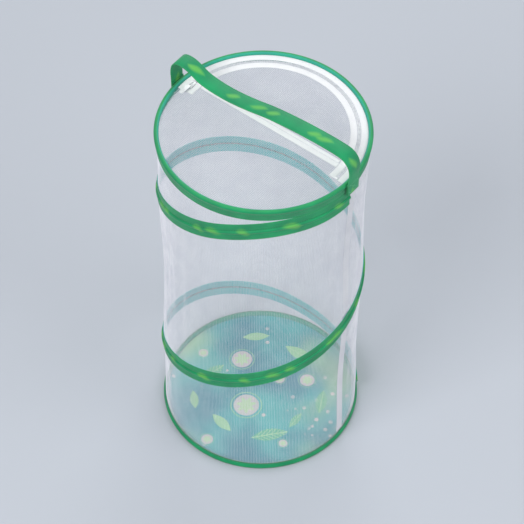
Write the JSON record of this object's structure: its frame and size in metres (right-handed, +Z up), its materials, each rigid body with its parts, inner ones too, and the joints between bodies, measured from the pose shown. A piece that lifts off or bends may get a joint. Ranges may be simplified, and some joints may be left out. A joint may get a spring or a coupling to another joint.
{
  "type": "insect cage",
  "caption": "Tall round pop-up net cage held open by a ribbon-cased wire spiral between two hoops, with a zipped half-moon top flap and a webbing handle.",
  "frame": {"origin": "middle of the base, on the surface that the cage stands on", "axes": "+Z up along the cage, -Y to the picture's viewer, +X to the viewer's right"},
  "size_m": [0.3052, 0.3052, 0.659],
  "materials": {
    "green_tape": "woven polyester binding tape, soft sheen",
    "green_webbing": "ribbed polypropylene webbing",
    "white_net": "fine white polyester netting, see-through",
    "white_tape": "woven white tape",
    "white_nylon": "white nylon, slightly glossy",
    "white_metal": "white painted metal",
    "spring_steel": "drawn spring-steel wire",
    "printed_floor": "printed woven polyester"
  },
  "bodies": {
    "base": {"floor_panel": "printed_floor", "bottom_hoop_wire": "spring_steel", "bottom_hoop_ferrule": "spring_steel", "bottom_binding": "green_tape", "wall_mesh": "white_net", "side_seam_tape": "white_tape", "spiral_wire": "spring_steel", "spiral_ribbon": "green_tape"},
    "top": {"top_hoop_wire": "spring_steel", "top_hoop_ferrule": "spring_steel", "top_binding": "green_tape", "top_panel": "white_net", "fold_tape": "white_tape", "zipper_tape_outer": "white_tape", "zipper_coil_outer": "white_nylon", "zipper_end_tape_left": "white_tape", "zipper_end_tape_right": "white_tape", "zipper_end_coil_left": "white_nylon", "zipper_end_coil_right": "white_nylon", "zipper_stop_left": "white_metal", "zipper_stop_right": "white_metal", "handle_anchor_left": "green_webbing", "handle_anchor_right": "green_webbing"},
    "flap": {"flap_panel": "white_net", "zipper_tape_inner": "white_tape", "zipper_coil_inner": "white_nylon"},
    "slider": {"zipper_slider": "white_metal"},
    "pull": {"zipper_pull": "white_nylon"},
    "handle": {"handle_strap": "green_webbing"}
  },
  "joints": [
    {"name": "collapse", "type": "slide", "parent": "base", "child": "top", "axis": [0, 0, 1], "range_m": [-0.56, 0], "stiffness_N_per_m": 20, "springref_m": 0.1, "deforming": ["wall_mesh", "side_seam_tape", "spiral_wire", "spiral_ribbon"]},
    {"name": "flap_fold", "type": "hinge", "parent": "top", "child": "flap", "pos_m": [0.00974, 0.01269, 0.6078], "axis": [0.7934, -0.6088, 0], "range_deg": [0, 90]},
    {"name": "zip_run", "type": "hinge", "parent": "top", "child": "slider", "pos_m": [0, 0, 0.6066], "axis": [0, 0, -1], "range_deg": [0, 175.9]},
    {"name": "pull_swing", "type": "hinge", "parent": "slider", "child": "pull", "pos_m": [-0.10301, 0.08346, 0.6105], "axis": [-0.7713, 0.6364, 0], "range_deg": [0, 120]},
    {"name": "handle_swing", "type": "hinge", "parent": "top", "child": "handle", "pos_m": [0, 0, 0.6], "axis": [0.7934, -0.6088, 0], "range_deg": [-55, 55], "stiffness_Nm_per_rad": 0.02}
  ]
}
